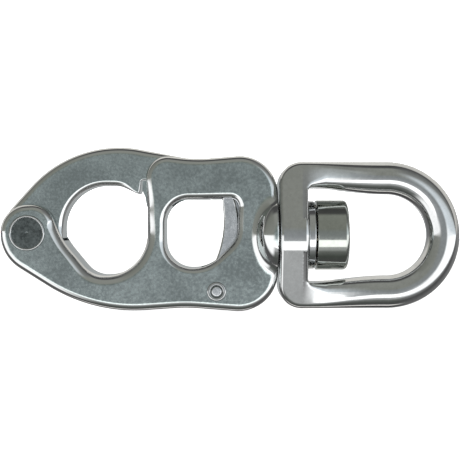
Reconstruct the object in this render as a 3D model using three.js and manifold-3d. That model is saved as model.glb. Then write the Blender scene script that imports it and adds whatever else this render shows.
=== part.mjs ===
// Trigger-release swivel snap shackle for a sailing boat, in stainless steel, about 170 mm long.
//
// The body is one casting with a saddle for the line, a finger hole and a deep slot. The jaw closes
// the saddle and hooks over the body's lip. The trigger stands behind the finger hole and holds the
// jaw's tail down, until a fid pushed through the hole moves it back. The bail turns on the swivel
// bolt, with a ball bearing inside the bolt's barrel-shaped head.
//
// Millimetres. X runs along the load line, from the jaw's pivot to the bail's crown, Z runs up the
// flat of the shackle and Y through its thickness. The parts are laid out from a point on the load
// line, and the last lines move the whole shackle so that its origin is the centre of its box.

import * as THREE from "three";
import { mergeVertices } from "three/addons/utils/BufferGeometryUtils.js";
import Module from "manifold-3d";

const wasm = await Module();
wasm.setup();

// ---- Driving dimensions ----

const CENTRE = { x: 0.8, z: 1.9 };
const FIT_GAP = 0.3;

const BODY_THICKNESS = 19;
const BODY_EDGE_ROUND = 2.4;
const SLOT_WIDTH = 11.6;
const JAW_THICKNESS = 11;
const JAW_EDGE_ROUND = 0.5;
const TRIGGER_THICKNESS = 10.8;
const TRIGGER_RIB_THICKNESS = 5;
const TRIGGER_EDGE_ROUND = 0.4;

const JAW_PIVOT = { x: -74.1, z: 0.8 };
const JAW_PIN_RADIUS = 5.6;
const JAW_PIN_COLLAR_RADIUS = 6.5;
const JAW_PIN_COLLAR_DEPTH = 1.2;
const JAW_PIN_PROUD = 0.5;

const TRIGGER_PIVOT = { x: -4.9, z: -20.6 };
const TRIGGER_PIN_RADIUS = 2.3;
const TRIGGER_PIN_COLLAR_RADIUS = 3.5;
const TRIGGER_PIN_COLLAR_DEPTH = 0.7;
const TRIGGER_PIN_PROUD = 0.15;

const BODY_END_X = 17.6;
const BOSS_RADIUS = 16.75;
const BOSS_DEPTH = 10.1;

const HUB_START_X = 17.9;
const HUB_END_X = 28.5;
const HUB_RADIUS = 16.5;
const HUB_ARM_RADIUS = 8.6;
const HUB_ARM_HEIGHT = 21.4;
const HUB_LEAN = Math.asin((HUB_RADIUS - HUB_ARM_RADIUS) / HUB_ARM_HEIGHT);
const HUB_CORNER_RADIUS = 8.5;
const HUB_BORE_RADIUS = 8.9;
const SPOT_FACE_RADIUS = 17.8;
const SPOT_FACE_END_X = 42.6;
const CROWN_X = 58.5;
const CROWN_RADIUS = 21.25;
const CROWN_BAR_RADIUS = 6.15;
const ARM_FOOT_X = HUB_START_X + HUB_CORNER_RADIUS;
const ARM_HALF_WIDTH = 4.65;
const ARM_HEIGHT_AT_HUB = 22.4;
const ARM_HALF_DEPTH = HUB_RADIUS / Math.cos(HUB_LEAN) - ARM_HEIGHT_AT_HUB * Math.tan(HUB_LEAN);
const ARM_OUTER_ROUND = 1.8;
const ARM_INNER_ROUND = 4.4;

const SHANK_RADIUS = 6.7;
const BOLT_START_X = 7.6;
const BOLT_BORE_RADIUS = 2.6;
const BOLT_BORE_END_X = 27;
const HEAD_START_X = 31.9;
const HEAD_END_X = 43.5;
const HEAD_RADIUS = 13.05;
const HEAD_EDGE_ROUND = 1.4;
const CUP_RADIUS = 11.5;
const CUP_FLOOR_X = 36.5;
const SOCKET_ACROSS_FLATS = 10;
const SOCKET_DEPTH = 5;

const RACE_BORE_RADIUS = 7;
const LOWER_RACE = { start: 28.8, end: 31.4, radius: 12.75 };
const UPPER_RACE = { start: 34.0, end: 36.2, radius: 11.2 };
const BALL_COUNT = 12;
const BALL_RADIUS = 1.6;
const BALL_CIRCLE_RADIUS = 9.1;
const BALL_X = 32.7;
const GROOVE_RADIUS = 1.75;
const CAGE = { thickness: 1, inner: 6.95, outer: 11.3, pocketRadius: 1.75 };

const BUSH_RADIUS = 8.6;
const BUSH_FLANGE = { start: 18.0, end: 19.3, radius: 12.4 };
const WASHER = { start: 19.9, end: 20.9, radius: 12.4 };

const LOCK_PIN = { x: 12.6, radius: 1.5, start: 4.2, end: 13.4 };

const PLUNGER = { start: 3.5, end: 13.0, radius: 2.2, tail: 17.5, tailRadius: 1.1 };
const SPRING = { start: 13.2, end: 26.8, wire: 0.35, radius: 1.75, turns: 7 };

// Corners of the outlines in the flat of the shackle: x, z and the radius that rounds the corner.

const BODY_OUTLINE = [
  [-84.3, 11.2, 10.2], // round the ear
  [-84.3, -7.7, 15.2],
  [-50.5, -28.9, 60], // along the lower edge
  [-16, -26.6, 60],
  [17.6, -29.1, 14.5],
  [17.6, 30.3, 14],
  [-12, 27.9, 60], // along the top of the cheeks
  [-31.4, 29.8, 8],
  [-30.3, 10, 30], // down the column and round the saddle
  [-30.4, -14.9, 15.3],
  [-50.8, -14.9, 10],
  [-62.3, -1.2, 30],
  [-66.6, 11.2, 8.5],
];

const FINGER_HOLE_OUTLINE = [
  [-24, 13.5, 9],
  [3.4, 13.5, 3.2],
  [2.65, -1.7, 9],
  [-7.84, -12.2, 14],
  [-24, -12.2, 10],
];

const EAR_SLOT_OUTLINE = [
  [-95, 30, 0],
  [-55, 30, 0],
  [-55, 4, 0],
  [-60.9, -1.6, 0],
  [-66.4, -9.5, 8],
  [-76.4, -9.5, 0],
  [-77.6, -20, 0],
  [-95, -20, 0],
];

const TOP_SLOT_OUTLINE = [
  [-50, 45, 0],
  [-50, 13, 0],
  [-22.9, 13, 0],
  [-19, 7, 0], // from here to the next corner it lies inside the finger hole
  [-12, -8, 0],
  [-9.9, -14, 2],
  [-9.9, -25.6, 4.9],
  [0.1, -25.6, 4.9],
  [2.8, -13, 6],
  [8.8, 4, 10],
  [8.8, 45, 0],
];

const LIP_OUTLINE = [
  [-30.6, 10.5, 0],
  [-31.2, 14, 0],
  [-32.3, 16.4, 0.4],
  [-32.2, 20, 0.6],
  [-27.7, 20, 0.6],
  [-22.9, 13.2, 0],
  [-23.6, 10.5, 0],
];

const JAW_OUTLINE = [
  [-83.9, 6.9, 12], // up the back of the jaw
  [-60.8, 32.6, 44],
  [-37, 32.6, 40],
  [-12.3, 27.7, 3],
  [-11.5, 18.6, 0.8], // the toe that the trigger holds down
  [-6.7, 18.6, 0.8],
  [-6.7, 13.3, 1],
  [-22.2, 13.3, 5],
  [-27.3, 20.4, 1],
  [-32.8, 20.4, 0.8], // the notch over the lip, and the nose
  [-33.4, 14.9, 0.9],
  [-41, 18.4, 8],
  [-61.8, 18.75, 16],
  [-61.8, -0.9, 1.5],
  [-67, -9, 8],
  [-83.9, -9, 9.8],
];

const TRIGGER_OUTLINE = [
  [-10.8, 19, 0.6], // the hook over the jaw's toe
  [-3.3, 19, 1.5],
  [-1.65, -1.95, 38], // down the edge that the fid pushes
  [-9.2, -17.5, 5],
  [-9.2, -24.9, 4.25],
  [-0.6, -24.9, 4.25],
  [3.9, 5, 25],
  [1, 15.5, 30],
  [-2.8, 26.6, 3],
  [-7.5, 26.2, 3],
  [-10.8, 22.3, 1],
];

const TRIGGER_RIB_OUTLINE = [
  [0, 4, 0],
  [3.6, 5, 1.5],
  [4.2, 9, 6],
  [3.6, 15, 3],
  [0, 19, 0],
];

// ---- Materials ----

const SATIN_STEEL = { color: 0x747b7b, roughness: 0.42, metalness: 1 };
const POLISHED_STEEL = { color: 0xa1a3a3, roughness: 0.16, metalness: 1 };
const TRIGGER_STEEL = { color: 0xa1a6aa, roughness: 0.38, metalness: 1 };
const PIN_STEEL = { color: 0x4a5254, roughness: 0.35, metalness: 1 };
const SPRING_STEEL = { color: 0x9a9c9e, roughness: 0.3, metalness: 1 };
const BEARING_STEEL = { color: 0xb6b8ba, roughness: 0.12, metalness: 1 };
const BUSH_BRONZE = { color: 0x9a7440, roughness: 0.4, metalness: 1 };
const CAGE_BRASS = { color: 0xb08d4a, roughness: 0.4, metalness: 1 };

// ---- Solids: joining and cutting ----

function toSolid(geometry) {
  const bare = geometry.clone();
  bare.deleteAttribute("normal");
  bare.deleteAttribute("uv");
  const merged = mergeVertices(bare, 1e-4);
  const vertProperties = new Float32Array(merged.attributes.position.array);
  const kept = [];
  for (let i = 0; i < merged.index.count; i += 3) {
    const [a, b, c] = merged.index.array.subarray(i, i + 3);
    if (a !== b && b !== c && c !== a) kept.push(a, b, c);
  }
  const triVerts = new Uint32Array(kept);
  return new wasm.Manifold(new wasm.Mesh({ numProp: 3, vertProperties, triVerts }));
}

function toGeometry(solid) {
  const mesh = solid.getMesh();
  const geometry = new THREE.BufferGeometry();
  geometry.setAttribute("position", new THREE.BufferAttribute(mesh.vertProperties, 3));
  geometry.setIndex(new THREE.BufferAttribute(mesh.triVerts, 1));
  return geometry;
}

const joined = (first, ...others) => others.reduce((sum, other) => sum.add(other), first);

const cutBy = (solid, ...tools) => tools.reduce((left, tool) => left.subtract(tool), solid);

// ---- Shapes ----

/** A closed shape from corners [x, z, radius]: straight lines with an arc at each corner. */
function roundedShape(corners) {
  const shape = new THREE.Shape();
  corners.forEach(([x, z, radius], i) => {
    const corner = new THREE.Vector2(x, z);
    if (radius === 0) {
      if (i === 0) shape.moveTo(x, z);
      else shape.lineTo(x, z);
      return;
    }
    const [beforeX, beforeZ] = corners.at(i - 1);
    const [afterX, afterZ] = corners[(i + 1) % corners.length];
    const back = new THREE.Vector2(beforeX, beforeZ).sub(corner).normalize();
    const ahead = new THREE.Vector2(afterX, afterZ).sub(corner).normalize();
    const halfAngle = Math.acos(back.dot(ahead)) / 2;
    const tangent = radius / Math.tan(halfAngle);
    const inward = back.clone().add(ahead).normalize();
    const centre = corner.clone().addScaledVector(inward, radius / Math.sin(halfAngle));
    const start = corner.clone().addScaledVector(back, tangent).sub(centre);
    const end = corner.clone().addScaledVector(ahead, tangent).sub(centre);
    const turnsRight = back.cross(ahead) > 0;
    shape.absarc(centre.x, centre.y, radius, start.angle(), end.angle(), turnsRight);
  });
  shape.closePath();
  return shape;
}

/** A flat plate with that outline, centred on the shackle's middle plane. */
function plate(outline, thickness, { edgeRound = 0, holes = [] } = {}) {
  const shape = roundedShape(outline);
  shape.holes = holes.map(roundedShape);
  const depth = thickness - 2 * edgeRound;
  const geometry = new THREE.ExtrudeGeometry(shape, {
    depth,
    curveSegments: 3,
    bevelEnabled: edgeRound > 0,
    bevelThickness: edgeRound,
    bevelSize: edgeRound,
    bevelOffset: -edgeRound,
    bevelSegments: edgeRound > 1 ? 2 : 1,
  });
  geometry.translate(0, 0, -depth / 2);
  const shapeToFlat = new THREE.Matrix4().makeBasis(
    new THREE.Vector3(1, 0, 0),
    new THREE.Vector3(0, 0, 1),
    new THREE.Vector3(0, -1, 0),
  );
  return geometry.applyMatrix4(shapeToFlat);
}

/** A solid of revolution about the load line, from a profile of [x, radius] points. */
function turned(profile, segments = 24) {
  const points = profile.map(([x, radius]) => new THREE.Vector2(radius, x));
  return new THREE.LatheGeometry(points, segments).rotateZ(-Math.PI / 2);
}

/** The profile of a ring between two radii, closed on itself. */
function ringProfile(start, end, inner, outer) {
  return [[start, inner], [start, outer], [end, outer], [end, inner], [start, inner]];
}

/** A round bar across the shackle, along Y, with a collar at each end when collar is given. */
function crossPin(centre, radius, halfLength, collar) {
  const profile = [[-halfLength, 0]];
  if (collar) {
    const edge = collar.depth / 3;
    profile.push([-halfLength, collar.radius - edge]);
    profile.push([-halfLength + edge, collar.radius]);
    profile.push([-halfLength + collar.depth, collar.radius]);
    profile.push([-halfLength + collar.depth, radius]);
    profile.push([halfLength - collar.depth, radius]);
    profile.push([halfLength - collar.depth, collar.radius]);
    profile.push([halfLength - edge, collar.radius]);
    profile.push([halfLength, collar.radius - edge]);
  } else {
    profile.push([-halfLength, radius]);
    profile.push([halfLength, radius]);
  }
  profile.push([halfLength, 0]);
  const points = profile.map(([along, r]) => new THREE.Vector2(r, along));
  return new THREE.LatheGeometry(points, 20).translate(centre.x, 0, centre.z);
}

// ---- Body, jaw and trigger ----

function bodyGeometry() {
  const casting = toSolid(plate(BODY_OUTLINE, BODY_THICKNESS, {
    edgeRound: BODY_EDGE_ROUND,
    holes: [FINGER_HOLE_OUTLINE],
  }));
  const bossProfile = [];
  const bossSteps = 5;
  for (let i = 0; i <= bossSteps; i += 1) {
    const angle = (i / bossSteps) * (Math.PI / 2);
    bossProfile.push([BODY_END_X - BOSS_DEPTH * Math.cos(angle), BOSS_RADIUS * Math.sin(angle)]);
  }
  bossProfile.push([BODY_END_X, 0]);
  const boss = toSolid(turned(bossProfile, 28));
  const earSlot = toSolid(plate(EAR_SLOT_OUTLINE, SLOT_WIDTH));
  const topSlot = toSolid(plate(TOP_SLOT_OUTLINE, SLOT_WIDTH));
  const lip = toSolid(plate(LIP_OUTLINE, SLOT_WIDTH + 0.2));

  const jawPinHole = toSolid(crossPin(
    JAW_PIVOT,
    JAW_PIN_RADIUS + FIT_GAP,
    BODY_THICKNESS / 2 + 1,
    { radius: JAW_PIN_COLLAR_RADIUS + FIT_GAP, depth: 1 + JAW_PIN_COLLAR_DEPTH },
  ));
  const triggerPinHole = toSolid(crossPin(
    TRIGGER_PIVOT,
    TRIGGER_PIN_RADIUS + FIT_GAP,
    BODY_THICKNESS / 2 + 1,
    { radius: TRIGGER_PIN_COLLAR_RADIUS + FIT_GAP, depth: 1 + TRIGGER_PIN_COLLAR_DEPTH },
  ));
  const boltHole = toSolid(turned([
    [0, 0],
    [0, SHANK_RADIUS + FIT_GAP],
    [BODY_END_X + 1, SHANK_RADIUS + FIT_GAP],
    [BODY_END_X + 1, 0],
  ]));
  const lockPinHole = toSolid(lockPinBar(LOCK_PIN.radius + FIT_GAP, 0, BOSS_RADIUS + 1));

  const slotted = cutBy(casting.add(boss), earSlot, topSlot);
  return toGeometry(cutBy(slotted.add(lip), jawPinHole, triggerPinHole, boltHole, lockPinHole));
}

function jawGeometry() {
  const jaw = toSolid(plate(JAW_OUTLINE, JAW_THICKNESS, { edgeRound: JAW_EDGE_ROUND }));
  const hole = toSolid(crossPin(JAW_PIVOT, JAW_PIN_RADIUS + FIT_GAP, BODY_THICKNESS));
  return toGeometry(jaw.subtract(hole));
}

function triggerGeometry() {
  const lever = plate(TRIGGER_OUTLINE, TRIGGER_THICKNESS, { edgeRound: TRIGGER_EDGE_ROUND });
  const rib = plate(TRIGGER_RIB_OUTLINE, TRIGGER_RIB_THICKNESS);
  const hole = toSolid(crossPin(TRIGGER_PIVOT, TRIGGER_PIN_RADIUS + FIT_GAP, BODY_THICKNESS));
  return toGeometry(joined(toSolid(lever), toSolid(rib)).subtract(hole));
}

function jawPinGeometry() {
  return crossPin(JAW_PIVOT, JAW_PIN_RADIUS, BODY_THICKNESS / 2 + JAW_PIN_PROUD, {
    radius: JAW_PIN_COLLAR_RADIUS,
    depth: JAW_PIN_COLLAR_DEPTH,
  });
}

function triggerPinGeometry() {
  return crossPin(TRIGGER_PIVOT, TRIGGER_PIN_RADIUS, BODY_THICKNESS / 2 + TRIGGER_PIN_PROUD, {
    radius: TRIGGER_PIN_COLLAR_RADIUS,
    depth: TRIGGER_PIN_COLLAR_DEPTH,
  });
}

function plungerGeometry() {
  const { start, end, radius, tail, tailRadius } = PLUNGER;
  return turned([
    [start, 0],
    [start + 0.3, radius * 0.6],
    [start + 1, radius],
    [end, radius],
    [end, tailRadius],
    [tail, tailRadius],
    [tail, 0],
  ], 20);
}

/** A compression spring: round wire on a helix about the load line. */
function springGeometry() {
  const { start, end, wire, radius, turns } = SPRING;
  const points = [];
  const pointsPerTurn = 8;
  for (let i = 0; i <= turns * pointsPerTurn; i += 1) {
    const angle = (i / pointsPerTurn) * 2 * Math.PI;
    const along = i / (turns * pointsPerTurn);
    const x = start + wire + along * (end - start - 2 * wire);
    points.push(new THREE.Vector3(x, radius * Math.cos(angle), radius * Math.sin(angle)));
  }
  const section = new THREE.Shape().absarc(0, 0, wire, 0, 2 * Math.PI);
  return new THREE.ExtrudeGeometry(section, {
    steps: turns * pointsPerTurn,
    curveSegments: 2,
    bevelEnabled: false,
    extrudePath: new THREE.CatmullRomCurve3(points),
  });
}

// ---- Swivel bolt and bearing ----

function lockPinBar(radius, start, end) {
  const bar = new THREE.CylinderGeometry(radius, radius, end - start, 20);
  return bar.translate(LOCK_PIN.x, (start + end) / 2, 0);
}

function swivelBoltGeometry() {
  const bolt = toSolid(turned([
    [BOLT_BORE_END_X, 0],
    [BOLT_BORE_END_X, BOLT_BORE_RADIUS],
    [BOLT_START_X, BOLT_BORE_RADIUS],
    [BOLT_START_X, SHANK_RADIUS - 1],
    [BOLT_START_X + 1, SHANK_RADIUS],
    [CUP_FLOOR_X, SHANK_RADIUS],
    [CUP_FLOOR_X, CUP_RADIUS],
    [HEAD_START_X, CUP_RADIUS],
    [HEAD_START_X, HEAD_RADIUS - 0.4],
    [HEAD_START_X + 0.4, HEAD_RADIUS],
    [HEAD_END_X - HEAD_EDGE_ROUND, HEAD_RADIUS],
    [HEAD_END_X, HEAD_RADIUS - HEAD_EDGE_ROUND],
    [HEAD_END_X, 0],
  ], 32));
  const socketRadius = SOCKET_ACROSS_FLATS / Math.sqrt(3);
  const socket = new THREE.CylinderGeometry(socketRadius, socketRadius, 2 * SOCKET_DEPTH, 6);
  socket.rotateZ(-Math.PI / 2).translate(HEAD_END_X, 0, 0);
  const pinHole = toSolid(lockPinBar(LOCK_PIN.radius + FIT_GAP, 3.4, BOSS_RADIUS));
  return toGeometry(cutBy(bolt, toSolid(socket), pinHole));
}

function lockPinGeometry() {
  return lockPinBar(LOCK_PIN.radius, LOCK_PIN.start, LOCK_PIN.end);
}

/** The ball groove's profile on a race's face, side 1 for a face that looks along +X. */
function grooveProfile(faceX, side) {
  const floorX = BALL_X - side * GROOVE_RADIUS;
  const centreX = floorX + side * GROOVE_RADIUS;
  const halfWidth = Math.sqrt(GROOVE_RADIUS ** 2 - (faceX - centreX) ** 2);
  const points = [];
  const steps = 4;
  for (let i = 0; i <= steps; i += 1) {
    const radius = BALL_CIRCLE_RADIUS + halfWidth * (1 - (2 * i) / steps);
    const depth = Math.sqrt(GROOVE_RADIUS ** 2 - (radius - BALL_CIRCLE_RADIUS) ** 2);
    points.push([centreX - side * depth, radius]);
  }
  return points;
}

function lowerRaceGeometry() {
  const { start, end, radius } = LOWER_RACE;
  return turned([
    [start, RACE_BORE_RADIUS],
    [start, radius - 0.3],
    [start + 0.3, radius],
    [end - 0.5, radius],
    [end, radius - 0.5],
    ...grooveProfile(end, 1),
    [end, RACE_BORE_RADIUS],
    [start, RACE_BORE_RADIUS],
  ]);
}

function upperRaceGeometry() {
  const { start, end, radius } = UPPER_RACE;
  return turned([
    [start, RACE_BORE_RADIUS],
    ...grooveProfile(start, -1).reverse(),
    [start, radius],
    [end, radius],
    [end, RACE_BORE_RADIUS],
    [start, RACE_BORE_RADIUS],
  ]);
}

function ballPlace(index) {
  const angle = (index / BALL_COUNT) * 2 * Math.PI;
  const y = BALL_CIRCLE_RADIUS * Math.sin(angle);
  const z = BALL_CIRCLE_RADIUS * Math.cos(angle);
  return new THREE.Vector3(BALL_X, y, z);
}

function cageGeometry() {
  const start = BALL_X - CAGE.thickness / 2;
  const end = BALL_X + CAGE.thickness / 2;
  const ring = toSolid(turned(ringProfile(start, end, CAGE.inner, CAGE.outer)));
  const pockets = [];
  for (let i = 0; i < BALL_COUNT; i += 1) {
    const pocket = new THREE.CylinderGeometry(CAGE.pocketRadius, CAGE.pocketRadius, 4, 12);
    const { x, y, z } = ballPlace(i);
    pockets.push(toSolid(pocket.rotateZ(-Math.PI / 2).translate(x, y, z)));
  }
  return toGeometry(cutBy(ring, ...pockets));
}

// ---- Bail ----

/** The hub's outline across the load line: a round boss drawn out to the two arms. */
function hubShape() {
  const shape = new THREE.Shape();
  shape.absarc(0, 0, HUB_RADIUS, -HUB_LEAN, HUB_LEAN);
  shape.absarc(0, HUB_ARM_HEIGHT, HUB_ARM_RADIUS, HUB_LEAN, Math.PI - HUB_LEAN);
  shape.absarc(0, 0, HUB_RADIUS, Math.PI - HUB_LEAN, Math.PI + HUB_LEAN);
  shape.absarc(0, -HUB_ARM_HEIGHT, HUB_ARM_RADIUS, Math.PI + HUB_LEAN, 2 * Math.PI - HUB_LEAN);
  shape.closePath();
  return shape;
}

function hubSolid() {
  const edge = 1;
  const hub = new THREE.ExtrudeGeometry(hubShape(), {
    depth: HUB_END_X - HUB_START_X - 2 * edge,
    curveSegments: 4,
    bevelThickness: edge,
    bevelSize: edge,
    bevelOffset: -edge,
    bevelSegments: 1,
  });
  const shapeToAxis = new THREE.Matrix4().makeBasis(
    new THREE.Vector3(0, 1, 0),
    new THREE.Vector3(0, 0, 1),
    new THREE.Vector3(1, 0, 0),
  );
  hub.translate(0, 0, HUB_START_X + edge).applyMatrix4(shapeToAxis);
  const top = ARM_HEIGHT_AT_HUB + ARM_HALF_WIDTH;
  const corners = plate([
    [HUB_START_X, top, HUB_CORNER_RADIUS],
    [HUB_END_X + 9, top, 0],
    [HUB_END_X + 9, -top, 0],
    [HUB_START_X, -top, HUB_CORNER_RADIUS],
  ], 4 * HUB_RADIUS);
  return toSolid(hub).intersect(toSolid(corners));
}

/** Where the bar's centreline runs, for along from 0 at the upper arm's foot to 1 at the lower's. */
function barCentre(along) {
  const armLength = CROWN_X - ARM_FOOT_X;
  const crownLength = Math.PI * CROWN_RADIUS;
  const distance = along * (2 * armLength + crownLength);
  const upper = distance < armLength;
  const lower = distance > armLength + crownLength;
  if (upper || lower) {
    const fromFoot = upper ? distance : 2 * armLength + crownLength - distance;
    const share = fromFoot / armLength;
    const height = ARM_HEIGHT_AT_HUB + (CROWN_RADIUS - ARM_HEIGHT_AT_HUB) * share;
    const sign = upper ? 1 : -1;
    return { x: ARM_FOOT_X + fromFoot, z: sign * height, angle: sign * (Math.PI / 2), share };
  }
  const angle = Math.PI / 2 - (distance - armLength) / CROWN_RADIUS;
  const x = CROWN_X + CROWN_RADIUS * Math.cos(angle);
  return { x, z: CROWN_RADIUS * Math.sin(angle), angle, share: 1 };
}

/**
 * A point of the bar's section, from one on a circle of radius 1. The crown is round. At their feet
 * the arms are rounded slabs, whose faces carry on the hub's sloping sides.
 */
function barSection(outward, across, share) {
  const growth = (1 - Math.cos(Math.PI * share)) / 2;
  const taper = (1 - share) ** 2;
  const halfWidth = ARM_HALF_WIDTH + (CROWN_BAR_RADIUS - ARM_HALF_WIDTH) * growth;
  const halfDepth = CROWN_BAR_RADIUS + (ARM_HALF_DEPTH - CROWN_BAR_RADIUS) * taper;
  const footRound = outward > 0 ? ARM_OUTER_ROUND : ARM_INNER_ROUND;
  const round = footRound + (CROWN_BAR_RADIUS - footRound) * growth;
  const offset = Math.sign(outward) * (halfWidth - round) + outward * round;
  const depth = Math.sign(across) * (halfDepth - round) + across * round;
  const slope = Math.tan(HUB_LEAN) * taper;
  return { offset, depth: depth * (1 - (slope * offset) / halfDepth) };
}

/** The value without the last bits, so that what should be zero has no sign. */
const settled = (value) => Math.round(value * 1e6) / 1e6;

function barSolid() {
  const bar = new THREE.CylinderGeometry(1, 1, 1, 16, 34);
  const positions = bar.attributes.position;
  for (let i = 0; i < positions.count; i += 1) {
    const centre = barCentre(0.5 - positions.getY(i));
    const outward = settled(positions.getX(i));
    const across = settled(positions.getZ(i));
    const { offset, depth } = barSection(outward, across, centre.share);
    positions.setXYZ(
      i,
      centre.x + offset * Math.cos(centre.angle),
      -depth,
      centre.z + offset * Math.sin(centre.angle),
    );
  }
  return toSolid(bar);
}

function bailGeometry() {
  const bore = toSolid(turned([
    [HUB_START_X - 1, 0],
    [HUB_START_X - 1, BUSH_FLANGE.radius + FIT_GAP],
    [WASHER.end + FIT_GAP, BUSH_FLANGE.radius + FIT_GAP],
    [WASHER.end + FIT_GAP, HUB_BORE_RADIUS],
    [HUB_END_X + 1, HUB_BORE_RADIUS],
    [HUB_END_X + 1, 0],
  ]));
  const spotFace = toSolid(turned([
    [HUB_END_X, 0],
    [HUB_END_X, SPOT_FACE_RADIUS],
    [SPOT_FACE_END_X - 5, SPOT_FACE_RADIUS],
    [SPOT_FACE_END_X - 2, SPOT_FACE_RADIUS - 0.3],
    [SPOT_FACE_END_X, SPOT_FACE_RADIUS - 1.3],
    [SPOT_FACE_END_X, 0],
  ], 40));
  return toGeometry(cutBy(joined(hubSolid(), barSolid()), bore, spotFace));
}

function bushGeometry() {
  const { start, end, radius } = BUSH_FLANGE;
  return turned([
    [start, RACE_BORE_RADIUS],
    [start, radius],
    [end, radius],
    [end, BUSH_RADIUS],
    [HUB_END_X - 0.2, BUSH_RADIUS],
    [HUB_END_X - 0.2, RACE_BORE_RADIUS],
    [start, RACE_BORE_RADIUS],
  ]);
}

function washerGeometry() {
  return turned(ringProfile(WASHER.start, WASHER.end, HUB_BORE_RADIUS, WASHER.radius));
}

// ---- The shackle ----

function piece(name, geometry, look) {
  const mesh = new THREE.Mesh(geometry, new THREE.MeshStandardMaterial(look));
  mesh.name = name;
  return mesh;
}

const shackle = new THREE.Group();
shackle.add(
  piece("body", bodyGeometry(), SATIN_STEEL),
  piece("jaw", jawGeometry(), SATIN_STEEL),
  piece("jaw_pivot_pin", jawPinGeometry(), PIN_STEEL),
  piece("trigger_lever", triggerGeometry(), TRIGGER_STEEL),
  piece("trigger_pivot_pin", triggerPinGeometry(), TRIGGER_STEEL),
  piece("trigger_plunger", plungerGeometry(), SPRING_STEEL),
  piece("trigger_spring", springGeometry(), SPRING_STEEL),
  piece("swivel_bolt", swivelBoltGeometry(), POLISHED_STEEL),
  piece("bolt_lock_pin", lockPinGeometry(), SPRING_STEEL),
  piece("bail", bailGeometry(), POLISHED_STEEL),
  piece("bail_bushing", bushGeometry(), BUSH_BRONZE),
  piece("thrust_washer", washerGeometry(), BEARING_STEEL),
  piece("lower_bearing_race", lowerRaceGeometry(), BEARING_STEEL),
  piece("upper_bearing_race", upperRaceGeometry(), BEARING_STEEL),
  piece("ball_cage", cageGeometry(), CAGE_BRASS),
);
for (let i = 0; i < BALL_COUNT; i += 1) {
  const number = String(i + 1).padStart(2, "0");
  const ball = piece(`bearing_ball_${number}`, new THREE.SphereGeometry(BALL_RADIUS, 8, 6), BEARING_STEEL);
  ball.position.copy(ballPlace(i));
  shackle.add(ball);
}
shackle.position.set(-CENTRE.x, 0, -CENTRE.z);

export default shackle;
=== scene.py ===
"""Looks of a trigger-release swivel snap shackle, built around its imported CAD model.

Every piece is modelled in millimetres from a point on the load line, as the CAD model is: X runs
from the jaw's pivot to the bail's crown, Z up the flat of the shackle, Y through its thickness.
place() then moves it to the frame, in metres.
"""

import math

import bmesh
import bpy
import numpy as np
from mathutils import Matrix, Vector


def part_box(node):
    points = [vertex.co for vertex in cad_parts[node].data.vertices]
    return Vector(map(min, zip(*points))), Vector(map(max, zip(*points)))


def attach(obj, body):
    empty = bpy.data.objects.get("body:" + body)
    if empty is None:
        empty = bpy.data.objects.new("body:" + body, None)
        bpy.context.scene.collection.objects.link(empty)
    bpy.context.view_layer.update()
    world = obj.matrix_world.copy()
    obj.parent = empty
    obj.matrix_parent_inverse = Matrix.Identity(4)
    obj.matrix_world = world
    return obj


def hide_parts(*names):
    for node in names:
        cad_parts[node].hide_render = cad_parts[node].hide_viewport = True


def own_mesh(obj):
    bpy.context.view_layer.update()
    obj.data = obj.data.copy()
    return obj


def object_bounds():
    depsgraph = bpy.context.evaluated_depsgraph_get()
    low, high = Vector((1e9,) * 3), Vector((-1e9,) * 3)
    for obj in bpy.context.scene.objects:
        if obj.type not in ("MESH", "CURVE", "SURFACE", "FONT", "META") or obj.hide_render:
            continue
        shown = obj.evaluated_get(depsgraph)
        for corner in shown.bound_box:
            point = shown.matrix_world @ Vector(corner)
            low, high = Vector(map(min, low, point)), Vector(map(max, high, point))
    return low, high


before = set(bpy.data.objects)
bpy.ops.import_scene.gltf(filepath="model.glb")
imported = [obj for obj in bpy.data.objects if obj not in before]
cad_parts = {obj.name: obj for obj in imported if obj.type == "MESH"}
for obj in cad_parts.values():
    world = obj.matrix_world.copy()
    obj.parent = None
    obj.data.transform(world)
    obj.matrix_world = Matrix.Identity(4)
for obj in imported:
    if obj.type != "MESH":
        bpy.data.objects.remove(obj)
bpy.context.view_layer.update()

# ---- Dimensions, in millimetres ----

MM = 0.001
BODY_END_X = 17.6
BODY_THICKNESS = 19
SLOT_WIDTH = 11.6
JAW_THICKNESS = 11
TRIGGER_THICKNESS = 10.8
TRIGGER_RIB_THICKNESS = 5
FIT_GAP = 0.3

JAW_PIVOT = (-74.1, 0.8)
JAW_PIN_RADIUS = 5.6
JAW_PIN_COLLAR_RADIUS = 6.5
JAW_PIN_COLLAR_DEPTH = 1.2
JAW_PIN_BEAD_RADIUS = 5.75
JAW_PIN_PROUD = 0.5
TRIGGER_PIVOT = (-4.9, -20.6)
TRIGGER_PIN_RADIUS = 2.3
TRIGGER_PIN_COLLAR_RADIUS = 3.5
TRIGGER_PIN_COLLAR_DEPTH = 0.7
TRIGGER_PIN_PROUD = 0.15
COLLAR_GAP = 0.12

BOSS_RADIUS = 16.75
BOSS_HALF_HEIGHT = 15.2
BOSS_DEPTH = 10.1
BOSS_FILLET = 1.8
BOSS_END_FILLET = 2.8
BOSS_FACE_ROUND = 0.6
BODY_EDGE_ROUND = 3.4

# The stretch of the cheeks that the boss is moulded with. It stays just under their surface.
BLEND_START_X = 3
BLEND_HALF_HEIGHT = 17
BLEND_CORNER_RADIUS = 1
UNDER_SURFACE = 0.01

SHANK_RADIUS = 6.7
BOLT_START_X = 7.6
BOLT_BORE_RADIUS = 2.6
BOLT_BORE_END_X = 27
HEAD_START_X = 31.9
HEAD_END_X = 43.5
HEAD_RADIUS = 13.05
CUP_RADIUS = 11.5
CUP_FLOOR_X = 36.5
SOCKET_ACROSS_FLATS = 10
SOCKET_DEPTH = 5

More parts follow.
